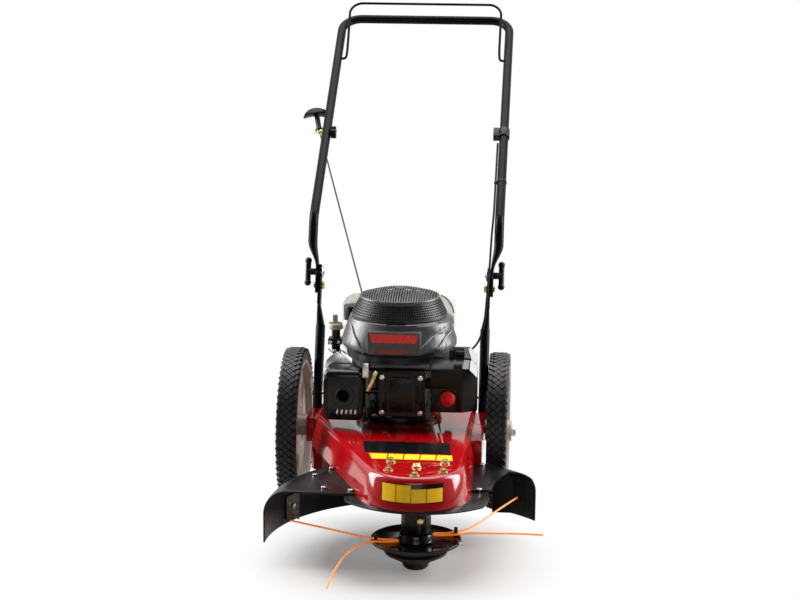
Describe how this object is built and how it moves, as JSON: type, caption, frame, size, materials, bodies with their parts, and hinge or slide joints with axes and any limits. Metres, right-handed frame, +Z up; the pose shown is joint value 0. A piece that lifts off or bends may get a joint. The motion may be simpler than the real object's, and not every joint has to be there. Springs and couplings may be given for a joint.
{
  "type": "wheeled_string_trimmer",
  "caption": "Walk-behind string trimmer: red steel deck on two large wheels, vertical-shaft petrol engine, belt-driven line head with guards, folding tube handle with bail and starter grip.",
  "frame": {"origin": "point on the ground under the cutting head's spin axis, on the glide foot's flat face", "axes": "+X to the right as seen from the front, +Y to the rear toward the handle, +Z up"},
  "size_m": [0.6296, 1.5655, 1.0923],
  "materials": {
    "deck_red": "gloss",
    "black_steel": "satin",
    "zinc_steel": "satin",
    "black_tube": "satin",
    "yellow_zinc": "satin",
    "black_plastic": "satin",
    "raw_steel": "satin",
    "cast_metal": "matte",
    "grey_casting": "satin",
    "black_rubber": "matte",
    "brass_bowl": "satin",
    "grey_plastic": "satin",
    "tank_plastic": "satin",
    "rope": "matte",
    "tyre": "matte",
    "hub_plastic": "satin",
    "foot_metal": "satin",
    "line_orange": "gloss",
    "primer_red": "satin"
  },
  "bodies": {
    "chassis": {"deck_shell": "deck_red", "under_plate": "black_steel", "axle_brackets": "deck_red", "axles": "zinc_steel", "axle_nuts": "zinc_steel", "lower_tube_left": "black_tube", "lower_tube_right": "black_tube", "handle_bolts": "yellow_zinc", "guard_left": "black_plastic", "guard_right": "black_plastic", "guard_bolts": "black_steel", "line_cutter": "raw_steel", "spindle_carrier": "cast_metal", "spindle_bearings": "zinc_steel", "spindle_bolts": "yellow_zinc", "column_sleeve": "grey_casting", "drive_belt": "black_rubber", "crankcase": "cast_metal", "cylinder": "cast_metal", "rocker_cover": "black_steel", "engine_bolts": "zinc_steel", "muffler": "black_steel", "muffler_strap": "yellow_zinc", "spark_plug": "black_rubber", "carburettor": "brass_bowl", "filter_base": "grey_plastic", "fuel_tank": "tank_plastic", "oil_tube": "black_plastic", "blower_shroud": "grey_plastic", "recoil_cover": "grey_plastic", "brake_cable_lower": "black_rubber", "starter_rope": "rope"},
    "wheel_left": {"tyre_left": "tyre", "hub_left": "hub_plastic"},
    "wheel_right": {"tyre_right": "tyre", "hub_right": "hub_plastic"},
    "crank": {"crankshaft": "raw_steel", "drive_pulley": "raw_steel", "flywheel": "cast_metal"},
    "head": {"spindle_shaft": "raw_steel", "driven_pulley": "raw_steel", "head_plate": "black_plastic", "glide_foot": "foot_metal", "line_left": "line_orange", "line_right": "line_orange"},
    "upper_handle": {"upper_handle": "black_tube", "knob_bolts": "zinc_steel", "rope_guide": "black_steel", "cable_clip": "grey_plastic", "brake_cable_upper": "black_rubber"},
    "bail": {"bail": "black_tube"},
    "starter_grip": {"starter_grip": "black_plastic"},
    "wing_knob_left": {"wing_knob_left": "grey_plastic"},
    "wing_knob_right": {"wing_knob_right": "grey_plastic"},
    "star_knob": {"star_knob": "black_plastic"},
    "primer_bulb": {"primer_bulb": "primer_red"},
    "fuel_cap": {"fuel_cap": "black_plastic"},
    "dipstick": {"dipstick": "grey_plastic"},
    "filter_cover": {"filter_cover": "grey_plastic"}
  },
  "joints": [
    {"name": "wheel_left_spin", "type": "hinge", "parent": "chassis", "child": "wheel_left", "pos_m": [-0.31, 0.436, 0.178], "axis": [1, 0, 0], "continuous": true},
    {"name": "wheel_right_spin", "type": "hinge", "parent": "chassis", "child": "wheel_right", "pos_m": [0.156, 0.436, 0.178], "axis": [1, 0, 0], "continuous": true},
    {"name": "crank_spin", "type": "hinge", "parent": "chassis", "child": "crank", "pos_m": [-0.07, 0.412, 0.3], "axis": [0, 0, 1], "continuous": true},
    {"name": "head_spin", "type": "hinge", "parent": "chassis", "child": "head", "pos_m": [0, 0, 0.1], "axis": [0, 0, 1], "continuous": true},
    {"name": "handle_fold", "type": "hinge", "parent": "chassis", "child": "upper_handle", "pos_m": [-0.077, 0.625, 0.467], "axis": [1, 0, 0], "range_deg": [0, 140], "deforming": ["starter_rope"]},
    {"name": "bail_squeeze", "type": "hinge", "parent": "upper_handle", "child": "bail", "pos_m": [-0.077, 1.19018, 0.95498], "axis": [-1, 0, 0], "range_deg": [0, 12], "stiffness_Nm_per_rad": 2, "springref_deg": -34.38},
    {"name": "starter_pull", "type": "slide", "parent": "upper_handle", "child": "starter_grip", "axis": [-0.2513, 0.8533, 0.4569], "range_m": [0, 0.5], "stiffness_N_per_m": 15, "springref_m": -0.4, "deforming": ["starter_rope"]},
    {"name": "wing_knob_left_turn", "type": "hinge", "parent": "upper_handle", "child": "wing_knob_left", "pos_m": [-0.305, 0.63579, 0.49712], "axis": [-1, 0, 0], "continuous": true},
    {"name": "wing_knob_right_turn", "type": "hinge", "parent": "upper_handle", "child": "wing_knob_right", "pos_m": [0.151, 0.63579, 0.49712], "axis": [1, 0, 0], "continuous": true},
    {"name": "star_knob_turn", "type": "hinge", "parent": "upper_handle", "child": "star_knob", "pos_m": [-0.28, 0.93922, 0.79043], "axis": [1, 0, 0], "continuous": true},
    {"name": "primer_press", "type": "slide", "parent": "chassis", "child": "primer_bulb", "axis": [0, 1, 0], "range_m": [0, 0.006], "stiffness_N_per_m": 300},
    {"name": "fuel_cap_turn", "type": "hinge", "parent": "chassis", "child": "fuel_cap", "pos_m": [-0.183, 0.52, 0.427], "axis": [0, 0, 1], "range_deg": [0, 180]},
    {"name": "dipstick_draw", "type": "slide", "parent": "chassis", "child": "dipstick", "axis": [0, 0, 1], "range_m": [0, 0.12]},
    {"name": "filter_cover_draw", "type": "slide", "parent": "chassis", "child": "filter_cover", "axis": [0, -1, 0], "range_m": [0, 0.06]}
  ],
  "couplings": [
    {"joint": "head_spin", "follows": "crank_spin", "ratio": 1.1333}
  ]
}
